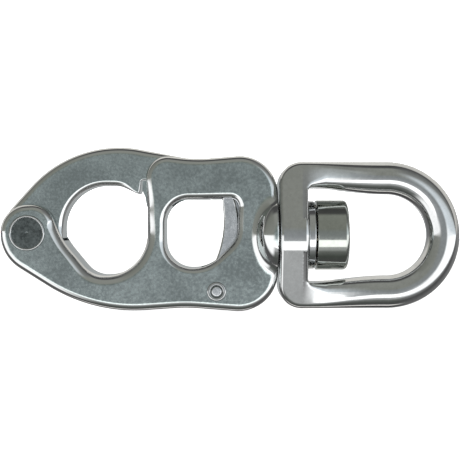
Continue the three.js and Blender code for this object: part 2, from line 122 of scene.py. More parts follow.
LOCK_PIN_X = 12.6
LOCK_PIN_RADIUS = 1.5
LOCK_PIN_START = 4.2
LOCK_PIN_END = 13.4
LOCK_PIN_HOLE_START = 3.4

HUB_START_X = 17.9
HUB_END_X = 28.5
HUB_RADIUS = 16.5
HUB_ARM_RADIUS = 8.6
HUB_ARM_HEIGHT = 21.4
HUB_CORNER_RADIUS = 8.5
HUB_BORE_RADIUS = 8.9
HUB_LEAN = math.asin((HUB_RADIUS - HUB_ARM_RADIUS) / HUB_ARM_HEIGHT)
ARM_FOOT_X = HUB_START_X + HUB_CORNER_RADIUS
ARM_HALF_WIDTH = 4.65
ARM_HEIGHT_AT_HUB = 22.4
ARM_HALF_DEPTH = HUB_RADIUS / math.cos(HUB_LEAN) - ARM_HEIGHT_AT_HUB * math.tan(HUB_LEAN)
ARM_OUTER_ROUND = 1.8
ARM_INNER_ROUND = 4.4
WINDOW_CORNER_RADIUS = 2
CROWN_X = 58.5
CROWN_RADIUS = 21.25
CROWN_BAR_RADIUS = 6.15
FOOT_ROUND = 1.1
FOOT_LENGTH = 7
FLANGE_POCKET_RADIUS = 12.7
FLANGE_POCKET_END_X = 21.2
SPOT_FACE_RADIUS = 17.8
SPOT_FACE_END_X = 42.6

RACE_BORE_RADIUS = 7
LOWER_RACE = {"start": 28.8, "end": 31.4, "radius": 12.75}
UPPER_RACE = {"start": 34, "end": 36.2, "radius": 11.2}
BALL_COUNT = 12
BALL_RADIUS = 1.6
BALL_CIRCLE_RADIUS = 9.1
GROOVE_RADIUS = 1.75
CAGE_INNER_RADIUS = 6.95
CAGE_OUTER_RADIUS = 11.3
POCKET_RADIUS = 1.75

BUSH = {"start": 18, "end": 28.3, "radius": 8.6}
BUSH_FLANGE = {"end": 19.3, "radius": 12.4}
WASHER = {"start": 19.9, "end": 20.9, "bore": 8.9, "radius": 12.4}

PLUNGER = {"start": 3.5, "end": 13, "radius": 2.2, "tail": 17.5, "tail_radius": 1.1}
SPRING = {"start": 13.2, "end": 26.8, "wire": 0.35, "radius": 1.75, "turns": 7}

# Corners of the outlines in the flat of the shackle: x, z, the radius that rounds the corner, and
# the width of the rounding between the flat face and the edge.

BODY_OUTLINE = [
    (-84.3, 11.2, 10.2, 2.6),
    (-84.3, -7.7, 15.2, 2.8),
    (-50.5, -28.9, 60, 2.8),
    (-16, -26.6, 60, 2.8),
    (17.6, -29.1, 14.5, 2.8),
    (17.6, 30.3, 14, 2.8),
    (-12, 27.9, 60, 2.8),
    (-31.4, 29.8, 8, 2.6),
    (-30.3, 10, 30, 3.2),
    (-30.4, -14.9, 15.3, 3.7),
    (-50.8, -14.9, 10, 3.7),
    (-62.3, -1.2, 30, 3.4),
    (-66.6, 11.2, 8.5, 2.4),
]

FINGER_HOLE_OUTLINE = [
    (-24, 13.5, 9, 1.9),
    (3.4, 13.5, 3.2, 2.2),
    (2.65, -1.7, 9, 2.4),
    (-7.84, -12.2, 14, 2.1),
    (-24, -12.2, 10, 2),
]

EAR_SLOT_OUTLINE = [
    (-95, 30, 0, 0),
    (-55, 30, 0, 0),
    (-55, 4, 0, 0),
    (-60.9, -1.6, 0, 0),
    (-66.4, -9.5, 8, 0),
    (-76.4, -9.5, 0, 0),
    (-77.6, -20, 0, 0),
    (-95, -20, 0, 0),
]

TOP_SLOT_OUTLINE = [
    (-50, 45, 0, 0),
    (-50, 13, 0, 0),
    (-22.9, 13, 0, 0),
    (-19, 7, 0, 0),
    (-12, -8, 0, 0),
    (-9.9, -14, 2, 0),
    (-9.9, -25.6, 4.9, 0),
    (0.1, -25.6, 4.9, 0),
    (2.8, -13, 6, 0),
    (8.8, 4, 10, 0),
    (8.8, 45, 0, 0),
]

LIP_OUTLINE = [
    (-30.6, 10.5, 0, 0),
    (-31.2, 14, 0, 0),
    (-32.3, 16.4, 0.4, 0),
    (-32.2, 20, 0.6, 0),
    (-27.7, 20, 0.6, 0),
    (-22.9, 13.2, 0, 0),
    (-23.6, 10.5, 0, 0),
]

JAW_OUTLINE = [
    (-83.9, 6.9, 12, 2.8),
    (-60.8, 32.6, 44, 2.8),
    (-37, 32.6, 40, 2.8),
    (-12.3, 27.7, 3, 1.5),
    (-11.5, 18.6, 0.8, 0.5),
    (-6.7, 18.6, 0.8, 0.5),
    (-6.7, 13.3, 1, 0.5),
    (-22.2, 13.3, 5, 0.6),
    (-27.3, 20.4, 1, 0.5),
    (-32.8, 20.4, 0.8, 0.4),
    (-33.4, 14.9, 0.9, 0.6),
    (-41, 18.4, 8, 1.8),
    (-61.8, 18.75, 16, 1.8),
    (-61.8, -0.9, 1.5, 0.9),
    (-67, -9, 8, 1.4),
    (-83.9, -9, 9.8, 2),
]

TRIGGER_OUTLINE = [
    (-10.8, 19, 0.6, 0.4),
    (-3.3, 19, 1.5, 0.6),
    (-1.65, -1.95, 38, 0.7),
    (-9.2, -17.5, 5, 0.7),
    (-9.2, -24.9, 4.25, 0.7),
    (-0.6, -24.9, 4.25, 0.7),
    (3.9, 5, 25, 0.7),
    (1, 15.5, 30, 0.7),
    (-2.8, 26.6, 3, 1.2),
    (-7.5, 26.2, 3, 1.2),
    (-10.8, 22.3, 1, 0.6),
]

TRIGGER_RIB_OUTLINE = [
    (0, 4, 0, 0),
    (3.6, 5, 1.5, 0),
    (4.2, 9, 6, 0),
    (3.6, 15, 3, 0),
    (0, 19, 0, 0),
]

# How finely the shapes are divided, how far round an edge is rounded before it meets the flat face,
# and the least angle between two faces that leaves a sharp edge.

ARC_STEP = math.radians(5)
LONGEST_STEP = 1.6
SHORTEST_STEP = 0.02
EDGE_STEPS = 7
EDGE_END_ANGLE = math.radians(76)
SHARP_ANGLE = math.radians(32)
BOSS_PITCH = 0.45
BAIL_PITCH = 0.5
SMOOTHING_PASSES = 6

# The load line's place in the frame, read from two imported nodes.
bolt_low, bolt_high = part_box("swivel_bolt")
LOAD_LINE = Vector((
    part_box("body")[1].x - BODY_END_X * MM,
    (bolt_low.y + bolt_high.y) / 2,
    (bolt_low.z + bolt_high.z) / 2,
))


# ---- Mesh helpers ----


def new_piece(name, vertices, faces):
    """A mesh object from points in millimetres, with its faces turned outwards."""
    mesh = bpy.data.meshes.new(name)
    mesh.from_pydata([tuple(map(float, v)) for v in vertices], [], faces)
    work = bmesh.new()
    work.from_mesh(mesh)
    bmesh.ops.recalc_face_normals(work, faces=work.faces)
    work.to_mesh(mesh)
    work.free()
    piece = bpy.data.objects.new(name, mesh)
    bpy.context.scene.collection.objects.link(piece)
    return piece


def bake_modifiers(piece):
    """Applies the piece's modifiers to its mesh."""
    bpy.context.view_layer.update()
    evaluated = piece.evaluated_get(bpy.context.evaluated_depsgraph_get())
    mesh = bpy.data.meshes.new_from_object(evaluated)
    piece.modifiers.clear()
    piece.data = mesh


def combine(piece, operation, *tools):
    """Joins the tools to the piece or cuts them from it, exactly, and removes them."""
    for tool in tools:
        modifier = piece.modifiers.new("combine", "BOOLEAN")
        modifier.operation = operation
        modifier.solver = "EXACT"
        modifier.object = tool
        bake_modifiers(piece)
        bpy.data.objects.remove(tool)


def place(piece, body, *replaced, slot, materials):
    """Shades the finished piece, moves it to the frame and ties it to its CAD body."""
    mesh = piece.data
    for material in materials:
        mesh.materials.append(material)
    mesh.transform(Matrix.Translation(LOAD_LINE) @ Matrix.Scale(MM, 4))
    mesh.shade_smooth()
    mesh.set_sharp_from_angle(angle=SHARP_ANGLE)
    weighted = piece.modifiers.new("even_flats", "WEIGHTED_NORMAL")
    weighted.keep_sharp = True
    bake_modifiers(piece)
    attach(piece, body)
    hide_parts(*replaced)


def paint_faces(piece, index, chosen):
    """Gives the faces that chosen(centre) picks, in millimetres, that material."""
    for face in piece.data.polygons:
        if chosen(face.center):
            face.material_index = index


# ---- Outlines ----


def corner_arc(corners, i):
    """Position, outward normal and edge width of points round one corner, counter-clockwise."""
    x, z, radius, width = corners[i]
    corner = np.array((x, z), float)
    back = np.array(corners[i - 1][:2]) - corner
    ahead = np.array(corners[(i + 1) % len(corners)][:2]) - corner
    back /= np.linalg.norm(back)
    ahead /= np.linalg.norm(ahead)
    if radius == 0:
        return [(corner, np.array((0.0, 0.0)), width)]
    half_angle = math.acos(float(back @ ahead)) / 2
    tangent = radius / math.tan(half_angle)
    middle = back + ahead
    centre = corner + middle / np.linalg.norm(middle) * (radius / math.sin(half_angle))
    start = corner + back * tangent - centre
    end = corner + ahead * tangent - centre
    turn = math.atan2(start[0] * end[1] - start[1] * end[0], float(start @ end))
    steps = max(2, math.ceil(abs(turn) / ARC_STEP), math.ceil(abs(turn) * radius / LONGEST_STEP))
    points = []
    for k in range(steps + 1):
        angle = turn * k / steps
        spoke = np.array((
            start[0] * math.cos(angle) - start[1] * math.sin(angle),
            start[0] * math.sin(angle) + start[1] * math.cos(angle),
        ))
        points.append((centre + spoke, spoke / radius * math.copysign(1, turn), width))
    return points


def outline_points(corners):
    """Points round a closed outline, close enough for the edge width to change smoothly."""
    area = sum(
        corners[i - 1][0] * corners[i][1] - corners[i][0] * corners[i - 1][1]
        for i in range(len(corners))
    )
    if area < 0:
        corners = corners[::-1]
    points = []
    for i in range(len(corners)):
        arc = corner_arc(corners, i)
        following = corner_arc(corners, (i + 1) % len(corners))
        points += arc
        (from_point, normal, from_width), (to_point, _, to_width) = arc[-1], following[0]
        length = float(np.linalg.norm(to_point - from_point))
        steps = max(1, math.ceil(length / LONGEST_STEP))
        if length < SHORTEST_STEP:
            points.pop()
        for k in range(1, steps):
            share = k / steps
            eased = share * share * (3 - 2 * share)
            point = from_point + (to_point - from_point) * share
            points.append((point, normal, from_width + (to_width - from_width) * eased))
    return points


def edge_steps(half):
    """From the side wall to the flat face: height, and shares of the edge's width in and down."""
    steps = []
    for k in range(EDGE_STEPS + 1):
        angle = EDGE_END_ANGLE * k / EDGE_STEPS
        share = (1 - math.cos(angle)) / (1 - math.cos(EDGE_END_ANGLE))
        drop = 1 - math.sin(angle) / math.sin(EDGE_END_ANGLE)
        steps.append((half, share, drop))
    return steps


def outline_solid(name, corners, half, direction=-1, beyond=0):
    """A plate with that outline and rounded edges, which step in (-1) or, as a cutter, out (1)."""
    points = outline_points(corners)
    rings = []
    for side in (-1, 1):
        levels = edge_steps(half)
        if beyond:
            levels.append((half + beyond, 1, 0))
        if side < 0:
            levels = levels[::-1]
        for height, share, drop in levels:
            ring = []
            for point, normal, width in points:
                x, z = point + normal * (direction * share * width)
                ring.append((x, side * (height - drop * width), z))
            rings.append(ring)
    return stack_rings(name, rings)


def prism(name, corners, half):
    """A plain slab with that outline, for cutting."""
    points = [point for point, _, _ in outline_points(corners)]
    return stack_rings(name, [[(x, y, z) for x, z in points] for y in (-half, half)])


def stack_rings(name, rings):
    """A closed solid from rings with the same number of points, with a flat cap at each end."""
    count = len(rings[0])
    vertices = [vertex for ring in rings for vertex in ring]
    faces = [list(range(count)), list(range(len(vertices) - count, len(vertices)))]
    for level in range(len(rings) - 1):
        for i in range(count):
            j = (i + 1) % count
            low, high = level * count, (level + 1) * count
            faces.append([low + i, low + j, high + j, high + i])
    return new_piece(name, vertices, faces)


# ---- Turned pieces ----


def eased_profile(corners):
    """A profile from corners (along, radius, rounding), with an arc at each rounded corner."""
    padded = [(along, radius, rounding, 0) for along, radius, rounding in corners]
    profile = []
    for i in range(len(padded)):
        profile += [tuple(point) for point, _, _ in corner_arc(padded, i)]
    return profile


def turned(name, profile, segments=96, across_at=None):
    """A solid of revolution about the load line, or about a line along Y through across_at."""
    closed_ring = profile[0][1] > 0
    vertices, rows = [], []
    for along, radius in profile:
        if radius < 1e-6:
            rows.append([len(vertices)] * segments)
            vertices.append((along, 0, 0))
            continue
        rows.append(list(range(len(vertices), len(vertices) + segments)))
        for k in range(segments):
            angle = 2 * math.pi * k / segments
            vertices.append((along, radius * math.sin(angle), radius * math.cos(angle)))
    faces = []
    pairs = list(zip(rows, rows[1:]))
    if closed_ring:
        pairs.append((rows[-1], rows[0]))
    for low, high in pairs:
        for k in range(segments):
            j = (k + 1) % segments
            face = [low[k], low[j], high[j], high[k]]
            unique = list(dict.fromkeys(face))
            if len(unique) > 2:
                faces.append(unique)
    if across_at:
        x, z = across_at
        vertices = [(x + b, along, z + c) for along, b, c in vertices]
    return new_piece(name, vertices, faces)


# ---- Solids from a distance field ----


def field_solid(name, field, low, high, pitch):
    """A closed mesh on the zero surface of field(x, y, z), which is negative inside.

    Each grid cell that the surface crosses gives a point, and each grid edge that it crosses gives
    a face between the four cells round the edge.
    """
    axes = [np.arange(a, b + pitch, pitch) for a, b in zip(low, high)]
    inside = field(*np.meshgrid(*axes, indexing="ij")) < 0
    shape = np.array(inside.shape) - 1
    count = np.zeros(shape, int)
    for corner in np.ndindex(2, 2, 2):
        window = tuple(slice(c, c + s) for c, s in zip(corner, shape))
        count += inside[window]
    crossed = (count > 0) & (count < 8)
    index = np.full(shape, -1)
    index[crossed] = np.arange(crossed.sum())
    points = np.array(low) + (np.argwhere(crossed) + 0.5) * pitch
    faces = []
    for axis in range(3):
        ahead = np.roll(inside, -1, axis)
        changes = np.argwhere(inside != ahead)
        changes = changes[changes[:, axis] < shape[axis]]
        others = [a for a in range(3) if a != axis]
        steps = []
        for a, b in ((0, 0), (1, 0), (1, 1), (0, 1)):
            cell = changes.copy()
            cell[:, others[0]] -= a
            cell[:, others[1]] -= b
            steps.append(index[tuple(cell.T)])
        faces += np.stack(steps, 1).tolist()
    neighbours = neighbour_lists(len(points), faces)
    for _ in range(SMOOTHING_PASSES):
        points = on_surface(field, points)
        points = 0.5 * points + 0.5 * neighbours(points)
    return new_piece(name, on_surface(field, on_surface(field, points)), faces)


def neighbour_lists(count, faces):
    """A function that gives, for each point, the mean of the points it shares an edge with."""
    quads = np.array(faces)
    pairs = np.concatenate([quads[:, [i, (i + side) % 4]] for i in range(4) for side in (1, 3)])
    number = np.bincount(pairs[:, 0], minlength=count)

    def mean(points):
        total = np.zeros_like(points)
        np.add.at(total, pairs[:, 0], points[pairs[:, 1]])
        return total / number[:, None]

    return mean


def on_surface(field, points):
    """The points, moved along the field's slope onto its zero surface."""
    nudge = 1e-3
    value = field(*points.T)
    slope = np.stack([
        (field(*(points + nudge * axis).T) - field(*(points - nudge * axis).T)) / (2 * nudge)
        for axis in np.eye(3)
    ], 1)
    return points - slope * (value / (slope**2).sum(1))[:, None]


def round_join(a, b, radius):
    """The field of two solids joined, with a fillet of that radius in the corner between them."""
    return np.maximum(np.minimum(a, b), radius) - np.hypot(
        np.maximum(radius - a, 0), np.maximum(radius - b, 0)
    )


def round_meet(a, b, radius):
    """The field of what two solids have in common, with its edge rounded to that radius."""
    return np.minimum(np.maximum(a, b), -radius) + np.hypot(
        np.maximum(radius + a, 0), np.maximum(radius + b, 0)
    )


# ---- Body, jaw and trigger ----


def pin_bore(name, centre, radius, collar, collar_depth):
    """The cutter for a pin's hole, wider at both ends for the pin's collars."""
    half = BODY_THICKNESS / 2
    profile = [(-half - 2, 0), (-half - 2, collar), (-half + collar_depth, collar)]
    profile += [(-half + collar_depth, radius), (half - collar_depth, radius)]
    profile += [(half - collar_depth, collar), (half + 2, collar), (half + 2, 0)]
    return turned(name, profile, across_at=centre)


def body_end_distance(x, z):
    """How far a point lies outside the body's end, whose corners are those of its outline."""
    (_, low_z, low_radius, _), (_, high_z, high_radius, _) = BODY_OUTLINE[4:6]
    radius = np.where(z > 0, high_radius, low_radius)
    past_z = np.maximum(np.where(z > 0, z - high_z, low_z - z) + radius, 0)
    past_x = np.maximum(x - BODY_END_X + radius, 0)
    return np.hypot(past_x, past_z) - radius


def boss_field(x, y, z):
    """The half-round boss at the body's end, with a fillet where it leaves the flat cheeks."""
    along = (x - BODY_END_X) / BOSS_DEPTH
    across = np.hypot(y / BOSS_RADIUS, z / BOSS_HALF_HEIGHT)
    reach = np.hypot(along, across)
    slope = np.sqrt(
        (along / BOSS_DEPTH) ** 2 + (y / BOSS_RADIUS**2) ** 2 + (z / BOSS_HALF_HEIGHT**2) ** 2
    )
    dome = reach * (reach - 1) / np.maximum(slope, 1e-6)
    end = body_end_distance(x, z) + UNDER_SURFACE
    cheek = round_meet(np.abs(y) - BODY_THICKNESS / 2 + UNDER_SURFACE, end, BODY_EDGE_ROUND)
    stretch = round_meet(
        np.abs(z) - BLEND_HALF_HEIGHT, BLEND_START_X - x, BLEND_CORNER_RADIUS
    )
    cheek = round_meet(cheek, stretch, BLEND_CORNER_RADIUS)
    widening = np.clip(np.abs(z) / BOSS_HALF_HEIGHT, 0, 1) ** 2
    fillet = BOSS_FILLET + (BOSS_END_FILLET - BOSS_FILLET) * widening
    return round_meet(round_join(dome, cheek, fillet), end, BOSS_FACE_ROUND)


def bolt_hole():
    """The cutter for the blind hole that takes the swivel bolt's shank."""
    radius = SHANK_RADIUS + FIT_GAP
    mouth_x = BODY_END_X + 1
    return turned("bolt_hole", [(0, 0), (0, radius), (mouth_x, radius), (mouth_x, 0)])


def make_body():
    """The casting: outline and boss joined, then the finger hole, slots and bores cut."""
    half = BODY_THICKNESS / 2
    body = outline_solid("shackle_body", BODY_OUTLINE, half)
    boss = field_solid("boss", boss_field, (2, -17.5, -18.5), (18.5, 17.5, 18.5), BOSS_PITCH)
    combine(body, "UNION", boss)
    combine(
        body, "DIFFERENCE",
        outline_solid("hole_cutter", FINGER_HOLE_OUTLINE, half, direction=1, beyond=1),
        prism("ear_slot", EAR_SLOT_OUTLINE, SLOT_WIDTH / 2),
        prism("top_slot", TOP_SLOT_OUTLINE, SLOT_WIDTH / 2),
    )
    overlap = 0.1
    combine(body, "UNION", prism("lip", LIP_OUTLINE, SLOT_WIDTH / 2 + overlap))
    combine(
        body, "DIFFERENCE",
        pin_bore(
            "jaw_pin_bore", JAW_PIVOT, JAW_PIN_RADIUS + FIT_GAP,
            JAW_PIN_COLLAR_RADIUS + COLLAR_GAP, JAW_PIN_COLLAR_DEPTH,
        ),
        pin_bore(
            "trigger_pin_bore", TRIGGER_PIVOT, TRIGGER_PIN_RADIUS + FIT_GAP,
            TRIGGER_PIN_COLLAR_RADIUS + COLLAR_GAP, TRIGGER_PIN_COLLAR_DEPTH,
        ),
        bolt_hole(),
        lock_pin_bar("lock_pin_hole", LOCK_PIN_RADIUS + FIT_GAP, 0, BOSS_RADIUS + 1),
    )
    place(body, "body", "body", slot="satin_steel", materials=[satin_steel])


def lock_pin_bar(name, radius, start, end):
    """A round bar along Y through the bolt's end, for the lock pin and its holes."""
    profile = [(start, 0), (start, radius), (end, radius), (end, 0)]
    return turned(name, profile, 48, across_at=(LOCK_PIN_X, 0))


def make_jaw():
    """The hinged hook that closes the saddle."""
    jaw = outline_solid("shackle_jaw", JAW_OUTLINE, JAW_THICKNESS / 2)
    bore = JAW_PIN_RADIUS + FIT_GAP
    combine(jaw, "DIFFERENCE", pin_bore("jaw_bore", JAW_PIVOT, bore, bore, 1))
    place(jaw, "jaw", "jaw", slot="satin_steel", materials=[satin_steel])


def make_trigger():
    """The lever behind the finger hole, with a rib along its back for the plunger."""
    trigger = outline_solid("trigger", TRIGGER_OUTLINE, TRIGGER_THICKNESS / 2)
    combine(trigger, "UNION", prism("rib", TRIGGER_RIB_OUTLINE, TRIGGER_RIB_THICKNESS / 2))
    bore = TRIGGER_PIN_RADIUS + FIT_GAP
    combine(trigger, "DIFFERENCE", pin_bore("trigger_bore", TRIGGER_PIVOT, bore, bore, 1))
    place(
        trigger, "trigger", "trigger_lever", slot="trigger_steel", materials=[trigger_steel]
    )


def both_ends(half_profile):
    """A pin's whole profile from its front half, which runs from the axis to the middle."""
    return half_profile + [(-along, radius) for along, radius in half_profile[::-1]]


def make_jaw_pin():
    """A riveted pin: a dished, turned end face inside a polished collar."""
    end = BODY_THICKNESS / 2 + JAW_PIN_PROUD
    profile = eased_profile([
        (-end + 0.6, 0, 0),
        (-end + 0.35, 0.55, 0.1),
        (-end + 0.3, JAW_PIN_BEAD_RADIUS, 0.05),
        (-end, JAW_PIN_BEAD_RADIUS, 0.28),
        (-end, JAW_PIN_COLLAR_RADIUS, 0.42),
        (-end + 1.5, JAW_PIN_COLLAR_RADIUS, 0.1),
        (-end + 1.6, JAW_PIN_RADIUS, 0.1),
        (0, JAW_PIN_RADIUS, 0),
    ])
    pin = turned("jaw_pin", both_ends(profile[:-1]), 128, across_at=JAW_PIVOT)
    x, z = JAW_PIVOT
    paint_faces(pin, 1, lambda c: math.hypot(c.x - x, c.z - z) > JAW_PIN_BEAD_RADIUS - 0.05)
    place(
        pin, "body", "jaw_pivot_pin", slot="pin_steel", materials=[pin_face_steel, polished_steel]
    )


def make_trigger_pin():
    """A small pin with a domed end inside a staked ring."""
    end = BODY_THICKNESS / 2 + TRIGGER_PIN_PROUD
    groove_in, groove_out = 1.8, 2.35
    profile = eased_profile([
        (-end, 0, 0),
        (-end + 0.1, groove_in, 0.4),
        (-end + 0.5, groove_in + 0.1, 0.1),
        (-end + 0.5, groove_out - 0.1, 0.1),
        (-end, groove_out, 0.3),
        (-end, TRIGGER_PIN_COLLAR_RADIUS, 0.5),
        (-end + 0.8, TRIGGER_PIN_COLLAR_RADIUS, 0.1),
        (-end + 0.9, TRIGGER_PIN_RADIUS, 0.1),
        (0, TRIGGER_PIN_RADIUS, 0),
    ])
    pin = turned("trigger_pin", both_ends(profile[:-1]), 72, across_at=TRIGGER_PIVOT)
    x, z = TRIGGER_PIVOT
    # The groove's faces take the dark pin-face steel: painted shade in the groove, which gives the
    # dark ring round the pin's end.
    paint_faces(pin, 1, lambda c: groove_in < math.hypot(c.x - x, c.z - z) < groove_out)
    paint_faces(pin, 2, lambda c: math.hypot(c.x - x, c.z - z) > groove_out)
    place(
        pin, "body", "trigger_pivot_pin", slot="trigger_steel",
        materials=[trigger_steel, pin_face_steel, polished_steel],
    )


# ---- Swivel ----


def make_bolt():
    """The swivel bolt: a hollow shank and a barrel-shaped head with a cup for the bearing."""
    profile = eased_profile([
        (BOLT_BORE_END_X, 0, 0),
        (BOLT_BORE_END_X, BOLT_BORE_RADIUS, 0.1),
        (BOLT_START_X, BOLT_BORE_RADIUS, 0.2),
        (BOLT_START_X, SHANK_RADIUS, 0.8),
        (CUP_FLOOR_X, SHANK_RADIUS, 0.3),
        (CUP_FLOOR_X, CUP_RADIUS, 0.3),
        (HEAD_START_X, CUP_RADIUS, 0.3),
        (HEAD_START_X, HEAD_RADIUS, 0.35),
        (HEAD_END_X, HEAD_RADIUS, 1.5),
        (HEAD_END_X, 0, 0),
    ])
    bolt = turned("bolt", profile, 160)
    across_corners = SOCKET_ACROSS_FLATS / math.sqrt(3)
    floor_x = HEAD_END_X - SOCKET_DEPTH
    mouth_x = HEAD_END_X + 1.5
    combine(
        bolt, "DIFFERENCE",
        turned("socket", [
            (floor_x, 0), (floor_x, across_corners), (mouth_x, across_corners), (mouth_x, 0),
        ], 6),
        lock_pin_bar("bolt_pin_hole", LOCK_PIN_RADIUS + FIT_GAP, LOCK_PIN_HOLE_START, BOSS_RADIUS),
    )
    place(bolt, "body", "swivel_bolt", slot="polished_steel", materials=[barrel_steel])


def groove(face_x, ball_x, side):
    """The ball groove in a race's face, outer edge first, side 1 for a face that looks along +X."""
    half_width = math.sqrt(GROOVE_RADIUS**2 - (face_x - ball_x) ** 2)
    points = []
    steps = 12
    for k in range(steps + 1):
        offset = half_width * (1 - 2 * k / steps)
        depth = math.sqrt(GROOVE_RADIUS**2 - offset**2)
        points.append((ball_x - side * depth, BALL_CIRCLE_RADIUS + offset))
    return points


def make_races():
    """The two grooved rings that the balls run between."""
    low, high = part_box("bearing_ball_01")
    ball_x = ((low.x + high.x) / 2 - LOAD_LINE.x) / MM
    start, end, radius = LOWER_RACE.values()
    lower = eased_profile([
        (start, RACE_BORE_RADIUS, 0.15), (start, radius, 0.25), (end, radius, 0.5), (end, 11, 0),
    ])
    lower = lower[:-1] + groove(end, ball_x, 1) + [(end, RACE_BORE_RADIUS)]
    piece = turned("lower_race", lower, 128)
    place(piece, "bail", "lower_bearing_race", slot="bearing_steel", materials=[bearing_steel])

    start, end, radius = UPPER_RACE.values()
    upper = [(start, RACE_BORE_RADIUS)] + groove(start, ball_x, -1)[::-1]
    upper += [(start, radius), (end, radius), (end, RACE_BORE_RADIUS)]
    piece = turned("upper_race", upper, 128)
    place(piece, "body", "upper_bearing_race", slot="bearing_steel", materials=[bearing_steel])


def make_balls():
    """A ball at the place of each packed one."""
    steps = 16
    angles = [math.pi * k / steps for k in range(1, steps)]
    profile = [(-BALL_RADIUS, 0)]
    profile += [(-BALL_RADIUS * math.cos(a), BALL_RADIUS * math.sin(a)) for a in angles]
    profile += [(BALL_RADIUS, 0)]
    for number in range(1, BALL_COUNT + 1):
        packed = f"bearing_ball_{number:02d}"
        low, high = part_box(packed)
        centre = ((low + high) / 2 - LOAD_LINE) / MM
        ball = turned(f"ball_{number:02d}", profile, 28)
        ball.data.transform(Matrix.Translation(centre))
        place(ball, "ball_set", packed, slot="bearing_steel", materials=[bearing_steel])


def make_cage():
    """A flat ring with a round pocket for each ball."""
    low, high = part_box("ball_cage")
    start, end = (low.x - LOAD_LINE.x) / MM, (high.x - LOAD_LINE.x) / MM
    inner, outer = CAGE_INNER_RADIUS, CAGE_OUTER_RADIUS
    cage = turned("cage", [(start, inner), (start, outer), (end, outer), (end, inner)], 96)
    pocket_profile = [
        (start - 1, 0), (start - 1, POCKET_RADIUS), (end + 1, POCKET_RADIUS), (end + 1, 0),
    ]
    pockets = []
    for number in range(BALL_COUNT):
        angle = 2 * math.pi * number / BALL_COUNT
        pocket = turned("pocket", pocket_profile, 28)
        offset = (0, BALL_CIRCLE_RADIUS * math.sin(angle), BALL_CIRCLE_RADIUS * math.cos(angle))
        pocket.data.transform(Matrix.Translation(offset))
        pockets.append(pocket)
    combine(cage, "DIFFERENCE", *pockets)
    place(cage, "ball_set", "ball_cage", slot="cage_brass", materials=[brass])


def make_hub_fittings():
    """The flanged bush in the hub and the washer behind its flange."""
    start, end, radius = BUSH.values()
    flange_end, flange_radius = BUSH_FLANGE.values()
    bush = turned("bushing", eased_profile([
        (start, RACE_BORE_RADIUS, 0.15), (start, flange_radius, 0.2),
        (flange_end, flange_radius, 0.15), (flange_end, radius, 0.2),
        (end, radius, 0.2), (end, RACE_BORE_RADIUS, 0.15),
    ]))
    # The bush takes the darkened bronze, painted shade in the gap round its flange.
    place(bush, "bail", "bail_bushing", slot="bush_bronze", materials=[shade_painted_bronze])

    start, end, bore, radius = WASHER.values()
    washer = turned("washer", eased_profile([
        (start, bore, 0.1), (start, radius, 0.15), (end, radius, 0.15), (end, bore, 0.1),
    ]))
    place(washer, "bail", "thrust_washer", slot="bearing_steel", materials=[bearing_steel])


def make_trigger_drive():
    """The plunger with its rounded nose, the bolt's lock pin and the spring."""
    start, end, radius, tail, tail_radius = PLUNGER.values()
    piece = turned("plunger", eased_profile([
        (start, 0, 0), (start + 0.15, 0.5, 0.2), (start + 0.9, radius - 0.5, 0.6),
        (start + 1.5, radius, 0.5), (end, radius, 0.2), (end, tail_radius, 0.1),
        (tail, tail_radius, 0.2), (tail, 0, 0),
    ]), 48)
    place(piece, "plunger", "trigger_plunger", slot="spring_steel", materials=[spring_steel])
    pin = lock_pin_bar("lock_pin", LOCK_PIN_RADIUS, LOCK_PIN_START, LOCK_PIN_END)
    place(pin, "body", "bolt_lock_pin", slot="spring_steel", materials=[spring_steel])
    make_spring()


def make_spring():
    """Round wire on a helix between the plunger's shoulder and the bore's end."""
    start, end, wire, radius, turns = SPRING.values()
    around, per_turn = 10, 24
    rings = []
    for k in range(turns * per_turn + 1):
        angle = 2 * math.pi * k / per_turn
        along = start + wire + (end - start - 2 * wire) * k / (turns * per_turn)
        outward = Vector((0, math.cos(angle), math.sin(angle)))
        centre = Vector((along, 0, 0)) + outward * radius
        ring = []
        for j in range(around):
            turn = 2 * math.pi * j / around
            spoke = outward * math.cos(turn) + Vector((1, 0, 0)) * math.sin(turn)
            ring.append(centre + wire * spoke)
        rings.append(ring)
    spring = stack_rings("spring", rings)
    place(spring, "body", "trigger_spring", slot="spring_steel", materials=[spring_steel])
    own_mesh(spring)


# ---- Bail ----


def window_distance(x, height, arm_bottom):
    """How far a point of the flat lies outside the window between the hub and the arms."""
    return round_meet(HUB_END_X - x, height - arm_bottom, WINDOW_CORNER_RADIUS)


